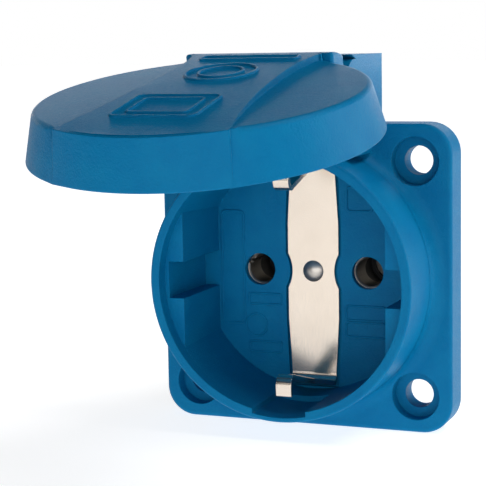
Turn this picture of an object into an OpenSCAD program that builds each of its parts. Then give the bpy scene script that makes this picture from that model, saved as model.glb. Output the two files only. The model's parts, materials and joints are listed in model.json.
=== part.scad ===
// Industrial panel socket for an earthed two-pin plug, with a hinged lid.
// Every piece is drawn in the panel frame: +X right, +Y up, +Z out of the panel towards the user,
// with the origin on the socket's axis in the flange's back plane. upright() turns that frame so
// that up is +Z and the user looks along +Y.

/* [Flange] */
// Distance between neighbouring fixing holes
hole_pitch = 38; // [36:0.5:44]
// Distance from a fixing hole's centre to the flange's edge
flange_margin = 6; // [5.5:0.25:9]
// Thickness of the flange
flange_t = 5.9; // [5.2:0.1:8]
// Corner radius of the flange
flange_r = 5; // [3:0.5:7]
// Rounding along the flange's front edge
flange_edge = 0.6; // [0.3:0.1:1]
// Diameter of the fixing holes
hole_d = 4.7; // [4:0.1:5.5]
// Diameter of the counterbores for the screw heads
head_d = 7.8; // [7:0.1:9]
// Material left under a screw head
head_seat = 3.5; // [2.5:0.1:4.5]

/* [Collar and recess] */
// Outside diameter of the collar at its front
collar_d = 43.7; // [42:0.1:45]
// Height of the collar's front above the panel
collar_h = 18.4; // [17.5:0.1:21]
// Wall of the collar at its front
collar_wall = 1.55; // [1.3:0.05:2.2]
// Radius of the fillet from the collar to the flange
collar_fillet = 2.4; // [1.5:0.1:3]
// Depth of the recess that takes the plug
recess_depth = 17.5; // [16.5:0.1:18]
// Width across the two flats of the recess
flat_width = 34; // [32.5:0.1:35]
// Distance from the collar's front to the flats
flat_setback = 2.4; // [1.5:0.1:4]
// Width of the guide slot in each flat
guide_w = 6; // [4:0.25:8]
// Depth of each guide slot
guide_depth = 2.6; // [1.5:0.1:2.7]
// Width of the drain notch at the bottom of the collar
drain_w = 9; // [6:0.5:12]
// Length of the drain notch behind the collar's front
drain_len = 12; // [8:0.5:14]
// Wall left outside the drain notch
drain_wall = 0.8; // [0.6:0.1:1]

/* [Floor and pin holes] */
// Distance between the two pin holes
pin_pitch = 19; // [18:0.1:20]
// Diameter of the pin holes
pin_hole_d = 5.4; // [5:0.1:6]
// Thickness of the floor round the pin holes
pin_lip = 1.2; // [0.8:0.1:1.6]
// Thickness of the floor
floor_t = 3; // [2.6:0.1:3.6]

/* [Hinge] */
// Height of the hinge pin above the closed lid's rim
hinge_rise = 6.2; // [5.9:0.1:7.5]
// Distance of the hinge pin in front of the closed lid's rim plane
hinge_ahead = 0.25; // [0:0.05:0.6]
// Diameter of the hinge pin
hinge_pin_d = 2.5; // [2:0.1:3]
// Width of the hinge block
block_w = 23.75; // [20:0.25:28]
// Width of each lug of the hinge block
lug_w = 4.7; // [3.5:0.1:6]
// Radius of the lugs' noses round the pin
lug_r = 4; // [3.4:0.1:4.4]
// Material of the hinge block above the pin
block_cap = 4.7; // [4:0.1:6]
// Distance of the hinge block's top edge in front of the pin
block_lead = 1.35; // [0.5:0.05:2]
// Radius of the lid's knuckle
knuckle_r = 3.6; // [2.8:0.1:3.8]
// Angle of the lid from closed, as it stands here
lid_open = 78.2; // [0:0.1:95]

/* [Lid] */
// Distance of the closed lid's rim behind the collar's front
rim_setback = 4.1; // [3.5:0.1:5]
// Gap between the collar and the inside of the lid's rim
lid_gap = 1.6; // [1.3:0.1:2.2]
// Wall of the lid at its rim
lid_wall = 1.7; // [1.4:0.1:2.2]
// Thickness of the lid's plate at its raised band
lid_plate = 2.35; // [1.8:0.05:2.8]
// How much smaller the side lobes' top is than the rim, on the radius
lobe_taper = 1.95; // [1:0.05:2.2]
// How much smaller the band's top is than the rim, on the radius
band_taper = 1.35; // [0.8:0.05:1.8]
// Half the width of the raised band at its waist
band_waist = 8.95; // [7:0.05:10]
// Distance of the band's waist from the lid's middle, towards the hinge
waist_up = 11.5; // [8:0.5:14]
// Distance of the band's crest from the lid's middle, towards the hinge
crest_up = 4; // [0:0.5:8]
// Radius of the band's fall to its end, next to the hinge
fall_r = 14; // [10:0.5:20]
// Radius of the band's long curved edge
band_edge_r = 150; // [120:5:200]
// Radius of the band's short curved edge, next to the hinge
band_end_r = 38; // [30:1:60]
// Height of the band above the lobes at the lid's middle
band_step = 0.86; // [0.5:0.02:1.1]
// Slope of the lobes, falling towards the hinge
lobe_slope = 0.92; // [0.5:0.02:1.2]
// Radius of the band's crown along the lid
crown_r = 600; // [400:50:1000]

/* [Seals] */
// Width of the lid's seal
seal_w = 2.5; // [2:0.1:2.7]
// Thickness of the lid's seal
seal_t = 1; // [0.8:0.1:1.4]
// Gap between the seal and the collar of the closed lid
seal_gap = 0.2; // [0.15:0.05:0.4]
// Width of the panel gasket
gasket_w = 2; // [1.4:0.1:2.2]
// Thickness of the panel gasket
gasket_t = 1.2; // [0.8:0.1:1.6]

/* [Earth strap] */
// Thickness of the strap
strap_t = 0.8; // [0.6:0.1:1]
// Width of the strap at its widest
strap_w = 8.9; // [8:0.1:9.4]
// Width of the strap at its ends
strap_end_w = 7.8; // [7:0.1:8.6]
// Width of the strap at its waist
strap_waist = 7.4; // [6.6:0.1:7.6]
// Radius of the cut that makes the waist
waist_r = 6; // [5:0.25:9]
// Gap between the strap and its slot
strap_gap = 0.4; // [0.3:0.05:0.5]
// Width of the spring tongues
tongue_w = 2.6; // [2.2:0.1:4]
// Distance of the tongues' contact crests from the socket's axis
crest_y = 14.8; // [14:0.1:15.6]
// Distance of the tongues' tips behind the collar's front
tip_setback = 2.4; // [1.5:0.1:4]
// Radius of the bend at the tongues' crests
crest_bend = 1.3; // [1:0.1:1.6]
// Gap between the tongues and the collar's inside at their roots
root_gap = 0.8; // [0.6:0.1:1.2]

/* [Rear] */
// Outside diameter of the skirt that goes through the panel
skirt_d = 42; // [41:0.1:43]
// Length of the skirt
skirt_len = 10; // [8:0.5:11]
// Wall of the skirt
skirt_wall = 1.8; // [1.4:0.1:2.2]
// Depth of the contact carrier behind the panel
carrier_depth = 22; // [21:0.5:26]
// Distance of the terminals' seats behind the panel
seat_depth = 15; // [14:0.25:16]
// Gap between the carrier and the skirt
carrier_gap = 0.2; // [0.1:0.05:0.4]

/* [Contacts and terminals] */
// Diameter of the plug's pins
plug_pin_d = 4.8; // [4.7:0.05:4.9]
// Wall of the contact sleeves
sleeve_wall = 0.55; // [0.4:0.05:0.7]
// Length of the contact sleeves
sleeve_len = 5; // [4:0.25:7]
// Wall of the ring springs round the sleeves
ring_wall = 0.5; // [0.3:0.05:0.6]
// Width of the terminal plates
terminal_w = 7; // [6.4:0.1:7.4]
// Thickness of the terminal plates
terminal_t = 1.6; // [1.2:0.1:2]
// Distance from a contact's axis to its terminal screw
screw_reach = 7.8; // [7:0.1:8]
// Diameter of the terminal screws
screw_d = 3; // [2.6:0.1:3.2]
// Diameter of the terminal screws' heads
screw_head_d = 5.8; // [5.2:0.1:6]
// Thickness of the clamping plates
clamp_t = 1; // [0.8:0.1:1.4]
// Diameter of the carrier screws
carrier_screw_d = 2.4; // [2:0.1:2.8]

/* [Hidden] */
$fn = 96;

BLUE = "#1272a8";
BLACK = "#26282b";
RUBBER = "#2c2e30";
NICKEL = "#cfc8be";
BRASS = "#c9a54e";
STEEL = "#b9bcc0";

cut = 0.5;                 // how far a cut runs past a face
pin_play = 0.05;           // radial play of the hinge pin in the knuckle
side_play = 0.3;           // play of the knuckle between the lugs
knuckle_play = 0.5;        // room round the knuckle in the hinge block

flange_w = hole_pitch + 2 * flange_margin;
collar_r = collar_d / 2;
mouth_r = collar_r - collar_wall;
floor_r = mouth_r - 0.3;
floor_z = collar_h - recess_depth;
floor_back = floor_z - floor_t;
flat_z = collar_h - flat_setback;
draft = 0.25;              // the collar is this much wider at its foot, on the radius
rim_edge = 0.4;            // rounding of the collar's front edge

rim_h = collar_h - rim_setback;
rim_r = collar_r + lid_gap + lid_wall;
plate_under = collar_h + seal_gap + seal_t - rim_h;
lid_h = plate_under + lid_plate;   // height of the band's crest above the rim
hinge_y = rim_r + hinge_rise;
hinge_z = rim_h + hinge_ahead;
block_top = hinge_y + block_cap;
block_front = hinge_z + block_lead;
gap_w = block_w - 2 * lug_w;
knuckle_w = gap_w - 2 * side_play;
web_front = rim_h - 0.9;

skirt_r = skirt_d / 2;
carrier_r = skirt_r - skirt_wall - carrier_gap;
sleeve_in = plug_pin_d / 2;
sleeve_out = sleeve_in + sleeve_wall;
contact_x = pin_pitch / 2;
contact_room = sleeve_out + ring_wall + 0.25;
lip_back = floor_z - pin_lip;
sleeve_base = 1.5;         // thickness of the sleeve's foot on its terminal
sleeve_front = lip_back - 0.2;
seat_z = -seat_depth;
clamp_z = seat_z - terminal_t;
head_z = clamp_z - clamp_t;
play = 0.3;                // room round the terminals in their pockets
earth_sheet = 1;           // thickness of the earth terminal's sheet
earth_knee = -8;           // where the earth terminal turns towards the rear
earth_screw_y = earth_knee - earth_sheet - screw_head_d / 2 - 0.6;
carrier_screws = [[-11.8, -9], [11.8, -9], [0, 13.5]];
boss_r = carrier_screw_d / 2 + 1.4;
boss_h = 4;
carrier_screw_seat = floor_back - boss_h - 4;

// ---------- helpers ----------

// Turns the panel frame upright: up becomes +Z and the front becomes -Y.
module upright() {
    rotate([90, 0, 0]) children();
}

// A disc of radius r on the socket's axis, or at [x, y], from height z0 to height z1.
module disc(r, z0, z1, at = [0, 0]) {
    translate([at[0], at[1], z0]) cylinder(h = z1 - z0, r = r);
}

// A block centred on X, from [y0, z0] to [y1, z1].
module bar(w, y0, y1, z0, z1, x = 0) {
    translate([x - w / 2, y0, z0]) cube([w, y1 - y0, z1 - z0]);
}

// Extrudes a side view, drawn as [up, front], to width w across the socket.
module across(w) {
    rotate([90, 0, 90]) linear_extrude(w, center = true) children();
}

// A square of side w with corners of radius r.
module rounded_square(w, r) {
    square([w, w - 2 * r], center = true);
    square([w - 2 * r, w], center = true);
    for (x = [-1, 1], y = [-1, 1]) translate([x, y] * (w / 2 - r)) circle(r);
}

// Points of an arc round c from angle a0 to angle a1.
function arc(c, r, a0, a1, n) = [for (i = [0 : n]) let (a = a0 + (a1 - a0) * i / n) c + r * [cos(a), sin(a)]];
function unit(v) = v / norm(v);
function left_of(v) = [-v[1], v[0]];
// The sideways step at point i of a path that keeps a ribbon's thickness through its bends.
function miter(path, i) =
    let (n = len(path) - 1,
         a = unit(path[max(i, 1)] - path[max(i, 1) - 1]),
         b = unit(path[min(i, n - 1) + 1] - path[min(i, n - 1)]),
         m = unit(left_of(a) + left_of(b)))
    m / (m * left_of(a));
// The outline of a ribbon of thickness t along a path.
function ribbon(path, t) = concat(
    [for (i = [0 : len(path) - 1]) path[i] + miter(path, i) * t / 2],
    [for (i = [len(path) - 1 : -1 : 0]) path[i] - miter(path, i) * t / 2]);
// The point where the tangent from p meets the circle of radius r round c, on the side away from the panel.
function tangent_point(p, c, r) =
    let (d = norm(p - c), u = unit(p - c), k = acos(r / d)) c + r * (u * cos(k) - left_of(u) * sin(k));

// ---------- housing: one moulding ----------

module flange_plate() {
    steps = 3;
    base_t = flange_t - flange_edge;
    // the rounded front edge: outlines that shrink along a quarter circle
    hull() for (i = [0 : steps]) {
        turn = 90 * i / steps;
        inset = flange_edge * (1 - cos(turn));
        linear_extrude(base_t + flange_edge * sin(turn)) rounded_square(flange_w - 2 * inset, flange_r - inset, $fn = 64);
    }
}

module collar() {
    rotate_extrude() {
        foot_r = collar_r + draft;
        polygon([[0, 0], [foot_r, 0], [foot_r, flange_t], [collar_r, collar_h - rim_edge],
                 [collar_r - rim_edge, collar_h], [0, collar_h]]);
        translate([collar_r - rim_edge, collar_h - rim_edge]) circle(rim_edge);
        difference() {
            translate([foot_r - draft, flange_t - cut]) square([collar_fillet + draft, collar_fillet + cut]);
            translate([foot_r + collar_fillet, flange_t + collar_fillet]) circle(collar_fillet);
        }
    }
}

// The hinge block's side view: a block on the flange whose nose carries the pin.
module block_side() {
    pin = [hinge_y, hinge_z];
    edge = [block_top, block_front];
    foot = mouth_r;
    polygon([[foot, 0], [block_top, 0], edge, tangent_point(edge, pin, lug_r), pin,
             [hinge_y - lug_r * 0.8, web_front], [foot, web_front]]);
    translate(pin) circle(lug_r);
}

// The space between the lugs that the knuckle turns in.
module knuckle_space() {
    room = knuckle_r + knuckle_play;
    translate([hinge_y, hinge_z]) circle(room);
    translate([hinge_y, hinge_z - room]) square([block_cap + cut, 3 * room]);
    translate([hinge_y - room, hinge_z]) square([2 * room, 3 * room]);
}

module hinge_block() {
    difference() {
        across(block_w) block_side();
        across(gap_w) knuckle_space();
        across(block_w + 2 * cut) translate([hinge_y, hinge_z]) circle(hinge_pin_d / 2);
    }
}

// What the plug goes into: a round mouth, two flats behind it and a guide slot in each flat.
module recess() {
    disc(mouth_r, flat_z, collar_h + cut);
    intersection() {
        translate([0, 0, floor_z]) cylinder(h = flat_z - floor_z + cut, r1 = floor_r, r2 = mouth_r);
        bar(flat_width, -collar_r, collar_r, floor_z, flat_z + cut);
    }
    bar(flat_width + 2 * guide_depth, -guide_w / 2, guide_w / 2, floor_z, flat_z + cut);
    intersection() {
        disc(collar_r - drain_wall, collar_h - drain_len, collar_h + cut);
        bar(drain_w, -collar_r, -mouth_r + collar_wall, collar_h - drain_len, collar_h + cut);
    }
}

module fixing_holes() {
    for (x = [-1, 1], y = [-1, 1]) {
        at = [x, y] * hole_pitch / 2;
        disc(hole_d / 2, -cut, flange_t + cut, at);
        disc(head_d / 2, head_seat, collar_h, at);
    }
}

// The room behind the floor for the contact carrier, with the bosses left standing for its screws.
module carrier_room() {
    difference() {
        disc(skirt_r - skirt_wall, -skirt_len - cut, floor_back);
        for (at = carrier_screws) disc(boss_r, floor_back - boss_h, floor_back + cut, at);
    }
}

// The strap's outline in the floor, grown by g all round: full width, a waist in the middle, and a
// slight taper to the bends at both ends.
module strap_outline(g, end_y) {
    half = strap_w / 2 + g;
    end_half = strap_end_w / 2 + g;
    full_y = strap_w / 2 + 3.5;
    difference() {
        polygon([for (s = [1, -1], p = [[-end_half, end_y], [-half, full_y], [-half, -full_y], [-end_half, -end_y]])
                 [s * p[0], s * p[1]]]);
        for (x = [-1, 1]) translate([x * (strap_waist / 2 + waist_r), 0]) circle(waist_r - g);
    }
}

module floor_cuts() {
    translate([0, 0, floor_z - strap_t]) linear_extrude(strap_t + cut)
        strap_outline(strap_gap, root_y + strap_gap);
    disc(rivet_r + 0.05, floor_back - cut, floor_z + cut);
    for (x = [-1, 1]) {
        disc(pin_hole_d / 2, floor_back - cut, floor_z + cut, [x * contact_x, 0]);
        disc(contact_room, floor_back - cut, lip_back, [x * contact_x, 0]);
    }
    for (at = carrier_screws) disc(carrier_screw_d / 2, floor_back - boss_h - cut, floor_z - strap_t - 0.6, at);
}

module gasket_ring(r_play) {
    difference() {
        disc(skirt_r + 0.8 + gasket_w + r_play, -cut * (r_play > 0 ? 1 : 0), gasket_t);
        disc(skirt_r + 0.8 - r_play, -2 * cut, gasket_t + cut);
    }
}

module housing() {
    color(BLUE) difference() {
        union() {
            flange_plate();
            collar();
            hinge_block();
            disc(skirt_r, -skirt_len, cut);
        }
        carrier_room();
        recess();
        floor_cuts();
        fixing_holes();
        gasket_ring(0.02);
    }
}

// ---------- lid, drawn closed and then turned about the hinge pin ----------

module opened() {
    translate([0, hinge_y, hinge_z]) rotate([-lid_open, 0, 0]) translate([0, -hinge_y, -hinge_z]) children();
}

band_end_y = rim_r + 1.75;         // where the band's end stands over the rim, towards the hinge
band_top = rim_h + lid_h;          // crest of the crowned band
lobe_mid = band_top - band_step;   // height of the lobes at the lid's middle
fall_y = band_end_y - 5.9;         // where the band starts to fall towards its end

// The raised band seen from the front: waisted, and as wide as the hinge block at its end.
module band_outline() {
    neck = 2.2;
    difference() {
        translate([-rim_r, -rim_r]) square([2 * rim_r, rim_r + waist_up]);
        for (x = [-1, 1]) translate([x * (band_waist + band_edge_r), waist_up]) circle(band_edge_r, $fn = 720);
    }
    difference() {
        translate([-block_w / 2, waist_up - 1]) square([block_w, rim_r - neck - waist_up]);
        for (x = [-1, 1]) translate([x * (band_waist + band_end_r), waist_up]) circle(band_end_r, $fn = 360);
    }
    end_half = band_waist + 1.5;
    polygon([[-end_half, rim_r - neck - 2], [end_half, rim_r - neck - 2], [end_half, rim_r - neck - 1],
             [block_w / 2, rim_r - 1], [-block_w / 2, rim_r - 1], [-end_half, rim_r - neck - 1]]);
    translate([-block_w / 2, rim_r - 1]) square([block_w, band_end_y - rim_r + 1]);
}

// The shell's outside: two lower side lobes and the band between them.
module lid_outside() {
    tall = 1.3 * lid_h;
    steep = tall / lid_h;
    difference() {
        translate([0, 0, rim_h]) cylinder(h = tall, r1 = rim_r, r2 = rim_r - steep * lobe_taper);
        translate([0, 0, lobe_mid]) rotate([-lobe_slope, 0, 0]) translate([-rim_r - cut, -rim_r - cut, 0])
            cube([2 * rim_r + 2 * cut, 2 * rim_r + 2 * cut, lid_h]);
    }
    intersection() {
        union() {
            intersection() {
                translate([0, 0, rim_h]) cylinder(h = tall, r1 = rim_r, r2 = rim_r - steep * band_taper);
                translate([0, 0, rim_h]) linear_extrude(2 * lid_h) band_outline();
            }
            bar(block_w, rim_r - 3, band_end_y, rim_h + overhang, band_top);
        }
        band_crown();
        band_fall();
    }
}

overhang = 3.2;   // the band's end stands this far in front of the rim, clear of the hinge

// A long cylinder across the lid, whose skin gives the band its crown.
module band_crown() {
    translate([0, crest_up, band_top - crown_r]) rotate([0, 90, 0])
        cylinder(h = 4 * rim_r, r = crown_r, center = true, $fn = 1440);
}

// Everything before the fall line, and a cylinder past it that rounds the band down to its end.
module band_fall() {
    drop = (fall_y - crest_up) * (fall_y - crest_up) / (2 * crown_r);
    bar(4 * rim_r, -2 * rim_r, fall_y, rim_h - cut, band_top + cut);
    translate([0, fall_y, band_top - drop - fall_r]) rotate([0, 90, 0])
        cylinder(h = 4 * rim_r, r = fall_r, center = true, $fn = 192);
}

// The arm from the shell to the knuckle, in side view.
module arm_side() {
    inner = rim_r - lid_wall + 0.2;
    arm_top = rim_h + 0.8 * lid_h;
    polygon([[inner, rim_h + 0.6], [hinge_y - knuckle_r + 0.1, rim_h + 0.4], [hinge_y, hinge_z],
             [hinge_y, hinge_z] + knuckle_r * [sin(13), cos(13)], [band_end_y, arm_top], [inner, arm_top]]);
    translate([hinge_y, hinge_z]) circle(knuckle_r);
}

module lid_closed() {
    rim_in = rim_r - lid_wall;
    top_in = collar_r + 0.4;
    rib_r = seal_in - 0.1;
    difference() {
        union() {
            lid_outside();
            across(knuckle_w) arm_side();
        }
        translate([0, 0, rim_h]) cylinder(h = plate_under, r1 = rim_in, r2 = top_in);
        disc(rim_in, rim_h - cut, rim_h);
        across(block_w) translate([hinge_y, hinge_z]) circle(hinge_pin_d / 2 + pin_play);
    }
    // the rib that keeps the seal in place
    difference() {
        disc(rib_r, rim_h + plate_under - seal_t + 0.2, rim_h + plate_under + cut);
        disc(rib_r - 0.8, rim_h, rim_h + plate_under + 2 * cut);
    }
}

seal_out = collar_r + 0.1;
seal_in = seal_out - seal_w;

module lid() {
    color(BLUE) opened() lid_closed();
}

module lid_seal() {
    color(RUBBER) opened() difference() {
        disc(seal_out, rim_h + plate_under - seal_t, rim_h + plate_under);
        disc(seal_in, rim_h, rim_h + lid_h);
    }
}

module hinge_pin() {
    end_room = 0.3;
    chamfer = 0.3;
    half = block_w / 2 - end_room;
    color(STEEL) translate([0, hinge_y, hinge_z]) rotate([0, 90, 0]) rotate_extrude()
        polygon([[0, -half], [hinge_pin_d / 2 - chamfer, -half], [hinge_pin_d / 2, -half + chamfer],
                 [hinge_pin_d / 2, half - chamfer], [hinge_pin_d / 2 - chamfer, half], [0, half]]);
}

module panel_gasket() {
    color(RUBBER) gasket_ring(0);
}

// ---------- earth strap ----------

rivet_r = 1;
root_y = floor_r - root_gap;       // outside of the tongue at its root
root_bend = 1.6;                   // radius of the bend at the root, at the middle of the sheet

// Centre line of one spring tongue as [up, front]: out of the floor, along the recess wall, in to the
// crest that touches the plug, and out again at the tip.
function tongue_path() =
    let (half_t = strap_t / 2,
         mid = floor_z - half_t,
         wall_y = root_y - half_t,
         tip_z = collar_h - tip_setback - half_t,
         crest = [crest_y + half_t + crest_bend, tip_z - crest_bend],
         root = [wall_y - root_bend, mid + root_bend],
         lean = 206)
    concat(
        [[root[0] - 1, mid]],
        arc(root, root_bend, -90, -18, 8),
        arc(crest, crest_bend, lean + 10, 90, 12),
        [[crest[0] + 1.6, tip_z - 0.1]]);

// One tongue: as wide as the strap where it leaves the floor, and narrow from there to its tip.
module tongue() {
    wide = strap_end_w / 2;
    narrow = tongue_w / 2;
    start_z = floor_z + 1;
    narrow_z = start_z + 2.6;
    intersection() {
        across(strap_w) polygon(ribbon(tongue_path(), strap_t));
        translate([0, floor_r, 0]) rotate([90, 0, 0]) linear_extrude(floor_r)
            polygon([[-wide, floor_z - 2 * strap_t], [wide, floor_z - 2 * strap_t], [wide, start_z], [narrow, narrow_z],
                     [narrow, collar_h], [-narrow, collar_h], [-narrow, narrow_z], [-wide, start_z]]);
    }
}

module earth_strap() {
    color(NICKEL) difference() {
        union() {
            translate([0, 0, floor_z - strap_t]) linear_extrude(strap_t)
                strap_outline(0, root_y - strap_t / 2 - root_bend);
            tongue();
            mirror([0, 1, 0]) tongue();
        }
        disc(rivet_r + 0.05, floor_z - 2 * strap_t, floor_z + strap_t);
    }
}

module strap_rivet() {
    head_r = 1.8;
    head_h = 0.7;
    ball_r = (head_r * head_r + head_h * head_h) / (2 * head_h);
    tail_z = floor_back - earth_sheet;
    color(STEEL) {
        intersection() {
            translate([0, 0, floor_z + head_h - ball_r]) sphere(ball_r);
            disc(head_r + cut, floor_z, floor_z + head_h + cut);
        }
        disc(rivet_r, tail_z, floor_z);
        disc(1.7 * rivet_r, tail_z - 0.6, tail_z);
    }
}

// ---------- contacts ----------

// A short sleeve that grips a plug pin, on a stem that is riveted into its terminal. The sleeve is split
// next to the stem, and has a notch that keeps it from turning.
module contact(x) {
    split = 0.6;
    lead = 0.25;
    stub_r = 1.2;
    notch_w = 1.6;
    stem_w = 3.6;
    back_z = sleeve_front - sleeve_len;
    color(NICKEL) translate([x * contact_x, 0, 0]) {
        difference() {
            disc(sleeve_out, seat_z, sleeve_front);
            disc(sleeve_in, seat_z + sleeve_base, sleeve_front + cut);
            translate([0, 0, sleeve_front - lead]) cylinder(h = lead + 0.01, r1 = sleeve_in, r2 = sleeve_in + lead);
            // only the stem is left behind the sleeve
            difference() {
                bar(2 * contact_room, -contact_room, contact_room, seat_z + sleeve_base, back_z);
                bar(stem_w, 0, contact_room + cut, seat_z, back_z + cut);
            }
            rotate(-x * 62) bar(split, 0, contact_room, back_z - cut, sleeve_front + cut);
            rotate(x * 35 - x * 90)
                bar(notch_w, 0, contact_room, sleeve_front - 1.2, sleeve_front + cut);
        }
        disc(stub_r, seat_z - terminal_t, seat_z + sleeve_base / 2);
    }
}

// An open steel ring that presses the sleeve's fingers together.
module ring_spring(x) {
    ring_len = sleeve_len / 2;
    ring_front = sleeve_front - sleeve_len / 3;
    gap = 1.5;
    color(STEEL) translate([x * contact_x, 0, 0]) difference() {
        disc(sleeve_out + ring_wall, ring_front - ring_len, ring_front);
        disc(sleeve_out, ring_front - ring_len - cut, ring_front + cut);
        bar(gap, 0, contact_room, ring_front - ring_len - cut, ring_front + cut);
    }
}

// ---------- carrier and terminals ----------

module carrier_screw_holes() {
    for (at = carrier_screws) {
        disc(boss_r + 0.2, floor_back - boss_h - 0.2, floor_back + cut, at);
        disc(carrier_screw_d / 2 + 0.3, carrier_screw_seat - cut, floor_back, at);
        disc(boss_r + 0.4, -carrier_depth - cut, carrier_screw_seat, at);
    }
}

// Pocket for a line or neutral terminal, with its wire entry at the top.
module side_pocket(x) {
    w = terminal_w + 2 * play;
    low = -terminal_w / 2 - play;
    high = screw_reach + terminal_w / 2 + play;
    bar(w, low, high, -carrier_depth - cut, seat_z, x * contact_x);
    bar(wire_w, high - cut, carrier_r + cut, -carrier_depth - cut, seat_z, x * contact_x);
    disc(contact_room, seat_z + 2, floor_back + cut, [x * contact_x, 0]);
    disc(sleeve_out + 0.05, seat_z - cut, floor_back, [x * contact_x, 0]);
    disc(screw_d / 2 + 0.3, seat_z - cut, seat_z + 3, [x * contact_x, screw_reach]);
}

wire_w = 5;

module earth_pocket() {
    w = terminal_w + 2 * play;
    low = earth_screw_y - terminal_w / 2 - play;
    bar(w, low, earth_knee + play, -carrier_depth - cut, seat_z);
    bar(wire_w, -carrier_r - cut, low + cut, -carrier_depth - cut, seat_z);
    bar(w, earth_knee - earth_sheet - play, earth_knee + play, seat_z - cut, floor_back + cut);
    bar(w, earth_knee - earth_sheet - play, terminal_w / 2 + play, floor_back - earth_sheet - 0.1, floor_back + cut);
    disc(1.7 * rivet_r + 0.4, floor_back - earth_sheet - 1.2, floor_back, [0, 0]);
    disc(screw_d / 2 + 0.3, seat_z - cut, seat_z + 3, [0, earth_screw_y]);
}

module contact_carrier() {
    chamfer = 0.8;
    color(BLACK) difference() {
        rotate_extrude() polygon([[0, floor_back], [carrier_r, floor_back], [carrier_r, -carrier_depth + chamfer],
                                  [carrier_r - chamfer, -carrier_depth], [0, -carrier_depth]]);
        carrier_screw_holes();
        side_pocket(-1);
        side_pocket(1);
        earth_pocket();
    }
}

// A brass plate that joins a contact to its screw.
module side_terminal(x) {
    color(BRASS) difference() {
        bar(terminal_w, -terminal_w / 2, screw_reach + terminal_w / 2, seat_z - terminal_t, seat_z, x * contact_x);
        disc(1.2, clamp_z - cut, seat_z + cut, [x * contact_x, 0]);
        disc(screw_d / 2, clamp_z - cut, seat_z + cut, [x * contact_x, screw_reach]);
    }
}

// A bent sheet from the strap's rivet, behind the floor, to the earth screw.
module earth_terminal() {
    t = earth_sheet;
    far = earth_screw_y - terminal_w / 2;
    color(BRASS) difference() {
        union() {
            bar(terminal_w, earth_knee - t, terminal_w / 2, floor_back - t, floor_back);
            bar(terminal_w, earth_knee - t, earth_knee, clamp_z, floor_back);
            bar(terminal_w, far, earth_knee, clamp_z, seat_z);
        }
        disc(rivet_r + 0.05, floor_back - t - cut, floor_back + cut);
        disc(screw_d / 2, clamp_z - cut, seat_z + cut, [0, earth_screw_y]);
    }
}

screw_spots = [[-contact_x, screw_reach], [contact_x, screw_reach], [0, earth_screw_y]];

// A square plate with one turned-up edge that holds the wire under the screw's head.
module clamp(at) {
    side = terminal_w - 0.8;
    color(STEEL) difference() {
        translate([at[0] - side / 2, at[1] - side / 2, head_z]) cube([side, side, clamp_t]);
        disc(screw_d / 2 + 0.15, head_z - cut, clamp_z + cut, at);
        for (x = [-1, 1]) translate([at[0] + x * side / 4 - 0.3, at[1] - side, clamp_z - 0.25])
            cube([0.6, 2 * side, 0.5]);
    }
}

// A cheese-head screw with a slot, standing on its seat, whose head points to the rear.
module slotted_screw(at, d, head_d, head_h, seat, tip) {
    slot_w = 0.8;
    edge = 0.4;
    color(STEEL) translate([at[0], at[1], 0]) difference() {
        union() {
            disc(d / 2, seat, tip);
            rotate_extrude() polygon([[0, seat], [head_d / 2, seat], [head_d / 2, seat - head_h + edge],
                                      [head_d / 2 - edge, seat - head_h], [0, seat - head_h]]);
        }
        bar(slot_w, -head_d, head_d, seat - head_h - cut, seat - head_h * 0.5);
    }
}

module terminal_screw(at) {
    slotted_screw(at, screw_d, screw_head_d, 2.2, head_z, seat_z + 2.5);
}

module carrier_screw(at) {
    slotted_screw(at, carrier_screw_d, 2 * boss_r, 1.8, carrier_screw_seat, floor_z - strap_t - 1);
}

// ---------- one line per piece ----------

upright() housing();
upright() lid();
upright() lid_seal();
upright() hinge_pin();
upright() panel_gasket();
upright() earth_strap();
upright() strap_rivet();
upright() contact(-1);  // line_contact
upright() contact(1);  // neutral_contact
upright() ring_spring(-1);  // line_ring_spring
upright() ring_spring(1);  // neutral_ring_spring
upright() contact_carrier();
upright() side_terminal(-1);  // line_terminal
upright() side_terminal(1);  // neutral_terminal
upright() earth_terminal();
upright() clamp(screw_spots[0]);  // line_clamp
upright() clamp(screw_spots[1]);  // neutral_clamp
upright() clamp(screw_spots[2]);  // earth_clamp
upright() terminal_screw(screw_spots[0]);  // line_screw
upright() terminal_screw(screw_spots[1]);  // neutral_screw
upright() terminal_screw(screw_spots[2]);  // earth_screw
upright() carrier_screw(carrier_screws[0]);  // carrier_screw_left
upright() carrier_screw(carrier_screws[1]);  // carrier_screw_right
upright() carrier_screw(carrier_screws[2]);  // carrier_screw_top
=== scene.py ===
"""An industrial panel socket with a hinged lid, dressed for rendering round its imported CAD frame."""
import json
import math

import bmesh
import bpy
import numpy as np
from mathutils import Matrix, Vector
from mathutils.kdtree import KDTree


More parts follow.
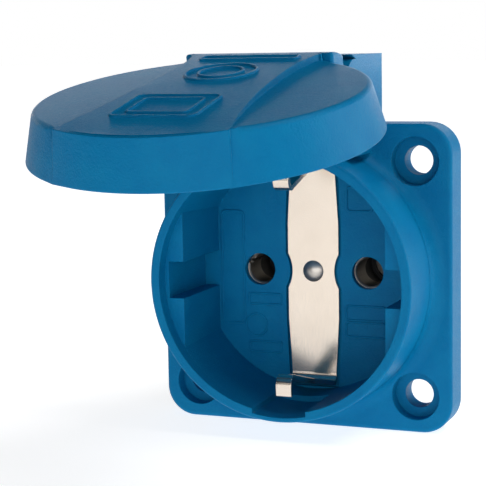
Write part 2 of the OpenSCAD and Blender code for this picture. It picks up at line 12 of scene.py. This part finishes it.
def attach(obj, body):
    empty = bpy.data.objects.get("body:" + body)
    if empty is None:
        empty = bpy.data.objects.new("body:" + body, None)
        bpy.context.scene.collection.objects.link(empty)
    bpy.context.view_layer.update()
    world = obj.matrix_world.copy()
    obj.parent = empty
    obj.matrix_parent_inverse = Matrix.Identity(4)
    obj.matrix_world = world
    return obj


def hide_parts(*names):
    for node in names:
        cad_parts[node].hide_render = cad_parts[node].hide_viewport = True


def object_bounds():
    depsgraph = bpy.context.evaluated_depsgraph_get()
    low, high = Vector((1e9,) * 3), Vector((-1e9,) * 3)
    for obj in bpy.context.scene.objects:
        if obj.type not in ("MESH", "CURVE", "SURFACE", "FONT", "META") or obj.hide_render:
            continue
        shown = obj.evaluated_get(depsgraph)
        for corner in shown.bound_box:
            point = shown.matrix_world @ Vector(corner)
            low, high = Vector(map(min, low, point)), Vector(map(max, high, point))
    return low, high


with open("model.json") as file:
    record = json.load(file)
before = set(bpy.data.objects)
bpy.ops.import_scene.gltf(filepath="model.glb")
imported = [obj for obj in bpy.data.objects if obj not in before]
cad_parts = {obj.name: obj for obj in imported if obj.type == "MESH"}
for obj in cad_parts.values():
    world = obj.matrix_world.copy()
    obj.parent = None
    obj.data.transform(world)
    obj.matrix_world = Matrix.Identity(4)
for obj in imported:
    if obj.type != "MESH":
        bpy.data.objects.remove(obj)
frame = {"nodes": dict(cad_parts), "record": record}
cad_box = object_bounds()
MM = 0.001
SLOT_OF = {part["node"]: part["material_slot"] for part in frame["record"]["subparts"]}
BODY_OF = {node: body for body, nodes in frame["record"]["behaviour"]["bodies"].items() for node in nodes}

# ---------- camera: eye point, heading and field of view, in the object's own frame ----------

EYE_MM = (85.6, -244.4, 38.2)
HEADING, DIP, TILT = math.radians(21.96), math.radians(7.35), math.radians(-1.01)
LENS_MM, FILM_MM = 115.4, 36.0


def aim_camera():
    """Looks along -sin, cos of the heading, dipped below the horizon and rolled by TILT."""
    forward = np.array([-math.sin(HEADING) * math.cos(DIP), math.cos(HEADING) * math.cos(DIP), -math.sin(DIP)])
    level = np.array([math.cos(HEADING), math.sin(HEADING), 0.0])
    above = np.cross(level, forward)
    right = math.cos(TILT) * level + math.sin(TILT) * above
    up = math.cos(TILT) * above - math.sin(TILT) * level
    data = bpy.data.cameras.new("eye")
    data.lens, data.sensor_width = LENS_MM, FILM_MM
    data.clip_start, data.clip_end = 0.01, 20.0
    camera = bpy.data.objects.new("eye", data)
    bpy.context.scene.collection.objects.link(camera)
    camera.matrix_world = Matrix.Translation([v * MM for v in EYE_MM]) @ Matrix(
        [(right[i], up[i], -forward[i]) for i in range(3)]).to_4x4()
    bpy.context.scene.camera = camera


aim_camera()
bpy.context.scene.view_settings.view_transform = "Standard"

# ---------- materials ----------


def hex_colour(code):
    """An sRGB hex value as the linear red, green, blue and alpha that the shaders take."""
    s = np.array([int(code[i:i + 2], 16) for i in (1, 3, 5)]) / 255
    linear = np.where(s <= 0.04045, s / 12.92, ((s + 0.055) / 1.055) ** 2.4)
    return (*linear.tolist(), 1.0)


def add(owner, kind, settings=None, links=None):
    """Adds one node to a material or world. Settings go to its properties or sockets, and hex values become
    colours. Links join its sockets to other nodes' outputs."""
    node = owner.node_tree.nodes.new(kind)
    for key, value in (settings or {}).items():
        value = hex_colour(value) if str(value).startswith("#") else value
        if isinstance(key, str) and hasattr(node, key):
            setattr(node, key, value)
        else:
            node.inputs[key].default_value = value
    for key, source in (links or {}).items():
        owner.node_tree.links.new(source, node.inputs[key])
    return node


def new_material(name):
    """A material with an empty node tree."""
    material = bpy.data.materials.new(name)
    material.use_nodes = True
    material.node_tree.nodes.clear()
    return material


def per_mm(size):
    """A noise scale whose cells are size millimetres across."""
    return 1 / (size * MM)


# the sockets of a colour mix: factor, then the two colours
MIX_A, MIX_B, MIX_OUT = 6, 7, 2


def moulded(name, deep, pale, roughness, level, grain_mm, cloud_mm, bump, ior, edge_mm=0.25):
    """A moulded skin. Clouds of cloud_mm blend two near colours, as fillers drift in the melt. A fine texture
    of grain_mm, left by the spark-eroded tool, lifts the surface and breaks up its shine. It is drawn about twice
    as coarse as the real one, which would be too fine to show. Its edges catch the light over edge_mm, as the
    tool's own edges are never quite sharp."""
    m = new_material(name)
    place = add(m, "ShaderNodeTexCoord").outputs["Object"]
    cloud = add(m, "ShaderNodeTexNoise", {"Scale": per_mm(cloud_mm), "Detail": 4.0, "Roughness": 0.55},
                {"Vector": place}).outputs["Fac"]
    fine = add(m, "ShaderNodeTexNoise", {"Scale": per_mm(grain_mm), "Detail": 3.0, "Roughness": 0.7},
               {"Vector": place}).outputs["Fac"]
    drift = add(m, "ShaderNodeMapRange", {"From Min": 0.3, "From Max": 0.7}, {"Value": cloud}).outputs["Result"]
    colour = add(m, "ShaderNodeMix", {"data_type": "RGBA", MIX_A: deep, MIX_B: pale}, {"Factor": drift})
    shine = add(m, "ShaderNodeMapRange", {"From Min": 0.3, "From Max": 0.7, "To Min": roughness - 0.05,
                                          "To Max": roughness + 0.07}, {"Value": fine}).outputs["Result"]
    edge = add(m, "ShaderNodeBevel", {"samples": 6, "Radius": edge_mm * MM}).outputs["Normal"]
    relief = add(m, "ShaderNodeBump", {"Strength": bump, "Distance": 0.1 * MM}, {"Height": fine, "Normal": edge})
    skin = add(m, "ShaderNodeBsdfPrincipled", {"Specular IOR Level": level, "IOR": ior},
               {"Base Color": colour.outputs[MIX_OUT], "Roughness": shine, "Normal": relief.outputs["Normal"]})
    add(m, "ShaderNodeOutputMaterial", {}, {"Surface": skin.outputs["BSDF"]})
    return m


def plated(name, deep, pale, roughness, line_mm, stretch, bump, edge_mm=0.12):
    """Metal sheet or rod: fine lines of line_mm along the way it was rolled or turned, drawn out by stretch, with
    small changes of tone and of shine between them. Its cut edges are broken over edge_mm."""
    m = new_material(name)
    place = add(m, "ShaderNodeTexCoord").outputs["Object"]
    drawn = add(m, "ShaderNodeMapping", {"Scale": stretch}, {"Vector": place}).outputs["Vector"]
    lines = add(m, "ShaderNodeTexNoise", {"Scale": per_mm(line_mm), "Detail": 3.0, "Roughness": 0.6},
                {"Vector": drawn}).outputs["Fac"]
    cloud = add(m, "ShaderNodeTexNoise", {"Scale": per_mm(4.0), "Detail": 3.0}, {"Vector": place}).outputs["Fac"]
    colour = add(m, "ShaderNodeMix", {"data_type": "RGBA", MIX_A: deep, MIX_B: pale}, {"Factor": cloud})
    shine = add(m, "ShaderNodeMapRange", {"From Min": 0.3, "From Max": 0.7, "To Min": roughness - 0.04,
                                          "To Max": roughness + 0.05}, {"Value": lines}).outputs["Result"]
    edge = add(m, "ShaderNodeBevel", {"samples": 6, "Radius": edge_mm * MM}).outputs["Normal"]
    relief = add(m, "ShaderNodeBump", {"Strength": bump, "Distance": 0.01 * MM}, {"Height": lines, "Normal": edge})
    skin = add(m, "ShaderNodeBsdfPrincipled", {"Metallic": 1.0},
               {"Base Color": colour.outputs[MIX_OUT], "Roughness": shine, "Normal": relief.outputs["Normal"]})
    add(m, "ShaderNodeOutputMaterial", {}, {"Surface": skin.outputs["BSDF"]})
    return m


FINISH = {
    # glass-filled polyamide 6: a deep satin blue that greys to a soft sheen at grazing angles
    "blue_plastic": moulded("glass_filled_polyamide", "#00699A", "#04719F", 0.36, 0.06, 0.36, 5.0, 1.0, 1.53),
    # moulded EPDM: near black and matt, with a faint bloom
    "seal_rubber": moulded("moulded_rubber", "#232527", "#2E3034", 0.72, 0.4, 0.4, 2.0, 0.2, 1.5),
    # black polyamide: dark grey with a dull satin skin
    "carrier_plastic": moulded("black_polyamide", "#191A1D", "#212327", 0.5, 0.5, 0.3, 3.0, 0.2, 1.53),
    # bright nickel over bronze strip: a warm pale grey, rolled along its length
    "nickel_plate": plated("nickel_plated_bronze", "#DED1C2", "#E8DCCF", 0.2, 0.15, (1.0, 1.0, 0.08), 0.25),
    # stamped brass strip: warm yellow
    "brass": plated("stamped_brass", "#C49A4A", "#D6B062", 0.3, 0.12, (1.0, 0.3, 1.0), 0.3),
    # zinc-plated steel: a cool pale grey
    "zinc_steel": plated("zinc_plated_steel", "#B4B8BD", "#C4C8CC", 0.3, 0.15, (1.0, 0.3, 1.0), 0.3),
}

# bare bronze springs are a plain grey
BRONZE = plated("tinned_bronze", "#A9A49C", "#BBB6AE", 0.36, 0.2, (1.0, 0.3, 1.0), 0.3)
# painted shade: the brass terminals deep in the carrier are painted a dull brown grey, so that the contact holes look
# dark inside
SHADED_BRASS = plated("brass_painted_shade", "#5E5952", "#77726A", 0.45, 0.2, (1.0, 0.3, 1.0), 0.3)
# the rivet's head is pressed, then tumbled: the same nickel with a softer shine
TUMBLED = plated("tumbled_nickel", "#BDB6AE", "#CBC4BC", 0.38, 0.2, (1.0, 1.0, 1.0), 0.15)
SPECIAL = {"line_contact": BRONZE, "neutral_contact": BRONZE, "line_terminal": SHADED_BRASS,
           "neutral_terminal": SHADED_BRASS, "strap_rivet": TUMBLED}

for name, node in frame["nodes"].items():
    for place in node.material_slots:
        place.material = SPECIAL.get(name, FINISH[SLOT_OF[name]])

# ---------- broken edges: every real edge of a moulding has a small radius ----------

WELD = 0.002 * MM    # points closer than this are one point
FLAT, SHARP = math.radians(0.3), math.radians(38)    # below the first a fold is flat, above the second an edge
CROWDED = 0.4        # an edge is rounded over at most this share of the shortest edge that meets it
CLEAR = 1.1 * MM     # no edge is rounded this near to an inside corner


def softened(name, width_mm, wide=None):
    """A copy of a CAD node whose loose triangles are welded, whose flats become single faces and whose convex
    edges are rounded. wide tells which edges, by their middle, get the full width; the others get a third of it.
    An edge's width is also at most CROWDED times the shortest edge that meets it, and nothing is rounded next to an
    inside corner. The copy stands for the node."""
    mesh = frame["nodes"][name].data.copy()
    shell = bmesh.new()
    shell.from_mesh(mesh)
    bmesh.ops.remove_doubles(shell, verts=shell.verts, dist=WELD)
    bmesh.ops.dissolve_limit(shell, angle_limit=FLAT, verts=shell.verts, edges=shell.edges)
    share = shell.edges.layers.float.new("bevel_weight_edge")
    turned = {edge: edge.calc_face_angle_signed(0.0) for edge in shell.edges}
    width = width_mm * MM
    corners = {end for edge, angle in turned.items() if angle < -SHARP for end in edge.verts}
    inside = KDTree(len(corners))
    for end in corners:
        inside.insert(end.co, end.index)
    inside.balance()
    for edge, angle in turned.items():
        edge.smooth = abs(angle) < SHARP
        if angle < SHARP:
            continue
        room = 1.0
        for end in edge.verts:
            along = (edge.other_vert(end).co - end.co).normalized()
            for other in end.link_edges:
                if other is edge:
                    continue
                if along.dot((other.other_vert(end).co - end.co).normalized()) > -0.9:
                    room = min(room, CROWDED * other.calc_length() / width)
            if inside.find(end.co)[2] < CLEAR:
                room = 0.0
        full = 1.0 if wide is None or wide((edge.verts[0].co + edge.verts[1].co) / 2) else 0.33
        edge[share] = min(full, room)
    for face in shell.faces:
        face.smooth = True
    shell.to_mesh(mesh)
    shell.free()
    piece = bpy.data.objects.new(name + "_body", mesh)
    bpy.context.scene.collection.objects.link(piece)
    round_off = piece.modifiers.new("edge", "BEVEL")
    round_off.width, round_off.segments, round_off.limit_method = width, 3, "WEIGHT"
    round_off.use_clamp_overlap = False
    level = piece.modifiers.new("level", "WEIGHTED_NORMAL")
    level.keep_sharp, level.weight = True, 80
    piece.data = bpy.data.meshes.new_from_object(piece.evaluated_get(bpy.context.evaluated_depsgraph_get()))
    piece.data.name = name + "_body"
    piece.modifiers.clear()
    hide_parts(name)
    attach(piece, BODY_OF[name])
    return piece


# the lid stands open by this angle, so its outside faces along LID_UP
LID_OPEN = math.radians(78.2)
LID_UP = Vector((0.0, -math.cos(LID_OPEN), math.sin(LID_OPEN)))
lid_top = max(LID_UP.dot(corner.co) for corner in frame["nodes"]["lid"].data.vertices)
# only the edges of its outside, within 2.5 mm of the band's crest, get the full rounding
softened("lid", 0.6, lambda middle: LID_UP.dot(middle) > lid_top - 2.5 * MM)

# ---------- plain raised frames, where such a socket carries its moulded marks ----------

FRAME_W, FRAME_TOP_W, FRAME_SINK = 0.5, 0.28, 0.1    # foot width, top width and depth of the foot, in mm
AROUND = 64


def frames(name, body, shapes, height, place):
    """Closed ribs on a surface. Each shape is (x, y, half width, half height, corner radius): the path at angle t is
    the corner centre (+-(half width - radius), +-(half height - radius)) plus radius times (cos t, sin t), which
    makes a rounded rectangle, or a ring when all three are equal. Across the path runs a trapezium: its points lie
    off the path by a share of the width and stand up by a height. place turns x, y and the height into the row's
    frame."""
    t = (np.arange(AROUND) + 0.5) * 2 * math.pi / AROUND
    across = np.array([-FRAME_W, FRAME_W, FRAME_TOP_W, -FRAME_TOP_W]) / 2
    up = np.array([-FRAME_SINK, -FRAME_SINK, height, height])
    points, faces = [], []
    for k, (x, y, wide, tall, corner) in enumerate(shapes):
        way = np.stack([np.cos(t), np.sin(t)], 1)
        path = np.array([x, y]) + np.sign(way) * (np.array([wide, tall]) - corner) + corner * way
        flat = path[:, None, :] + across[None, :, None] * way[:, None, :]
        points.append(place(flat[..., 0].ravel(), flat[..., 1].ravel(), np.tile(up, AROUND)))
        i, j = np.meshgrid(np.arange(AROUND), np.arange(4), indexing="ij")
        i2, j2, start = (i + 1) % AROUND, (j + 1) % 4, k * AROUND * 4
        faces.append(start + np.stack([i * 4 + j, i * 4 + j2, i2 * 4 + j2, i2 * 4 + j], -1).reshape(-1, 4))
    mesh = bpy.data.meshes.new(name)
    mesh.from_pydata((np.concatenate(points) * MM).tolist(), [], np.concatenate(faces).tolist())
    shell = bmesh.new()
    shell.from_mesh(mesh)
    bmesh.ops.recalc_face_normals(shell, faces=shell.faces)
    shell.to_mesh(mesh)
    shell.free()
    mesh.materials.append(FINISH["blue_plastic"])
    piece = bpy.data.objects.new(name, mesh)
    bpy.context.scene.collection.objects.link(piece)
    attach(piece, body)


FLOOR_Y = -0.9                     # the recess floor, in mm
HINGE_Y, HINGE_Z = -14.55, 31.35   # the hinge pin, in mm
CREST_H, CREST_UP, CROWN_R = 21.95, 4.0, 600.0   # the band's crest: height, place and radius of its crown, in mm


def on_floor(x, y, up):
    """On the recess floor: the height stands out to the front."""
    return np.stack([x, FLOOR_Y - up, y], 1)


def on_band(x, y, up):
    """On the lid's band: height = crest - (y - crest's place)^2 / (2 crown radius), drawn on the closed lid and
    turned about the hinge pin by LID_OPEN."""
    front = -(CREST_H - (y - CREST_UP) ** 2 / (2 * CROWN_R) + up) - HINGE_Y
    rise = y - HINGE_Z
    c, s = math.cos(LID_OPEN), math.sin(LID_OPEN)
    return np.stack([x, front * c + rise * s + HINGE_Y, -front * s + rise * c + HINGE_Z], 1)


# each frame's middle x and y, half width, half height and corner radius, in mm
RECESS_FRAMES = (
    (-14.4, 0.2, 2.0, 9.6, 0.8),     # tall field by the left flat
    (-8.7, -5.1, 2.9, 0.9, 0.4),     # line under the left pin hole
    (-10.3, -9.6, 1.9, 1.9, 1.9),    # ring
    (-8.7, -13.3, 2.9, 0.9, 0.4),    # line under the ring
    (9.1, -6.8, 3.4, 1.2, 0.5),      # two lines under the right pin hole
    (9.1, -9.6, 3.4, 1.2, 0.5),
    (8.2, 12.2, 2.2, 2.0, 0.6),      # field at the upper right
)
LID_FRAMES = (
    (-0.8, -10.0, 6.2, 5.2, 1.2),    # double field by the lid's outer end
    (-0.8, -10.0, 4.4, 3.4, 0.8),
    (-0.4, 8.6, 5.2, 5.2, 5.2),      # double ring in the middle
    (-0.4, 8.6, 3.2, 3.2, 3.2),
    (0.2, 18.4, 7.6, 1.2, 0.5),      # long field by the hinge
)
frames("recess_frames", "base", RECESS_FRAMES, 0.16, on_floor)
frames("lid_frames", "lid", LID_FRAMES, 0.3, on_band)

# ---------- studio ----------


# how bright the floor and the surround are for diffuse rays and for gloss; WALL is the surround behind the object
FLOOR_DIFFUSE, FLOOR_GLOSS = 1.0, 0.85
ROOM_DIFFUSE, ROOM_GLOSS, WALL_GLOSS = 0.06, 0.03, 0.18
FLOOR_REACH = 4.0    # half the floor's side, in metres
# each lamp's name, place, the point it faces, width and height in metres, and its power in watts
LAMPS = (("key", (0.25, -0.85, 0.05), (0, 0, 0), 1.2, 0.5, 4.5),
         ("side", (0.7, 0.4, 0.1), (0, 0, 0), 0.4, 0.4, 3.2),
         ("top", (0.35, 0.0, 0.6), (0, 0, 0), 0.3, 0.3, 2.4),
         ("sheen", (-0.02, 0.012, 0.043), (0, -0.045, 0.032), 0.15, 0.02, 0.02))


def studio():
    """A pale floor under the flange's lower edge, a white surround, three large soft lamps and a low strip of light
    close behind the lid. The camera sees floor and surround white. Gloss sees the surround grey behind the object
    and dim in front of it."""
    low = cad_box[0][2]
    floor = bpy.data.meshes.new("floor")
    floor.from_pydata([(-FLOOR_REACH, -FLOOR_REACH, low), (FLOOR_REACH, -FLOOR_REACH, low),
                       (FLOOR_REACH, FLOOR_REACH, low), (-FLOOR_REACH, FLOOR_REACH, low)], [], [(0, 1, 2, 3)])
    floor_object = bpy.data.objects.new("floor", floor)
    bpy.context.scene.collection.objects.link(floor_object)
    paper = new_material("studio_paper")
    floor.materials.append(paper)
    path = add(paper, "ShaderNodeLightPath").outputs
    place = add(paper, "ShaderNodeTexCoord").outputs["Object"]
    reach = add(paper, "ShaderNodeVectorMath", {"operation": "LENGTH"}, {0: place}).outputs["Value"]
    far = add(paper, "ShaderNodeMapRange", {"From Min": 0.06, "From Max": 0.25, "To Min": 0.8, "To Max": 1.0},
              {"Value": reach}).outputs["Result"]
    mirror = add(paper, "ShaderNodeMath", {"operation": "MAXIMUM"},
                 {0: path["Is Glossy Ray"], 1: path["Is Transmission Ray"]}).outputs[0]
    unseen = add(paper, "ShaderNodeMix", {2: FLOOR_DIFFUSE, 3: FLOOR_GLOSS}, {"Factor": mirror}).outputs[0]
    level = add(paper, "ShaderNodeMix", {}, {"Factor": path["Is Camera Ray"], 2: unseen, 3: far}).outputs[0]
    matt = add(paper, "ShaderNodeBsdfDiffuse", {"Color": "#C8C8C8"}).outputs[0]
    glow = add(paper, "ShaderNodeEmission", {"Color": "#FFFFFF"}, {"Strength": level}).outputs[0]
    both = add(paper, "ShaderNodeAddShader", {}, {0: matt, 1: glow}).outputs[0]
    add(paper, "ShaderNodeOutputMaterial", {}, {"Surface": both})

    world = bpy.data.worlds.new("white_surround")
    bpy.context.scene.world = world
    world.use_nodes = True
    world.node_tree.nodes.clear()
    path = add(world, "ShaderNodeLightPath").outputs
    ray = add(world, "ShaderNodeTexCoord").outputs["Generated"]
    part = add(world, "ShaderNodeSeparateXYZ", {}, {0: ray}).outputs
    behind = add(world, "ShaderNodeMapRange", {"From Min": -0.15, "From Max": 0.3}, {"Value": part["Y"]}).outputs[0]
    low_sky = add(world, "ShaderNodeMapRange", {"From Min": 0.42, "From Max": 0.2}, {"Value": part["Z"]}).outputs[0]
    band = add(world, "ShaderNodeMath", {"operation": "MULTIPLY"}, {0: behind, 1: low_sky}).outputs[0]
    gloss = add(world, "ShaderNodeMapRange", {"To Min": ROOM_GLOSS, "To Max": WALL_GLOSS}, {"Value": band}).outputs[0]
    mirror = add(world, "ShaderNodeMath", {"operation": "MAXIMUM"},
                 {0: path["Is Glossy Ray"], 1: path["Is Transmission Ray"]}).outputs[0]
    unseen = add(world, "ShaderNodeMix", {2: ROOM_DIFFUSE}, {"Factor": mirror, 3: gloss}).outputs[0]
    level = add(world, "ShaderNodeMix", {3: 1.0}, {"Factor": path["Is Camera Ray"], 2: unseen}).outputs[0]
    glow = add(world, "ShaderNodeBackground", {"Color": "#FFFFFF"}, {"Strength": level}).outputs[0]
    add(world, "ShaderNodeOutputWorld", {}, {"Surface": glow})

    for name, place, aim, width, height, power in LAMPS:
        lamp = bpy.data.lights.new(name, "AREA")
        lamp.shape, lamp.energy, lamp.size, lamp.size_y = "RECTANGLE", power, width, height
        stand = bpy.data.objects.new(name, lamp)
        bpy.context.scene.collection.objects.link(stand)
        stand.location = place
        stand.rotation_euler = (stand.location - Vector(aim)).to_track_quat("Z", "Y").to_euler()


studio()
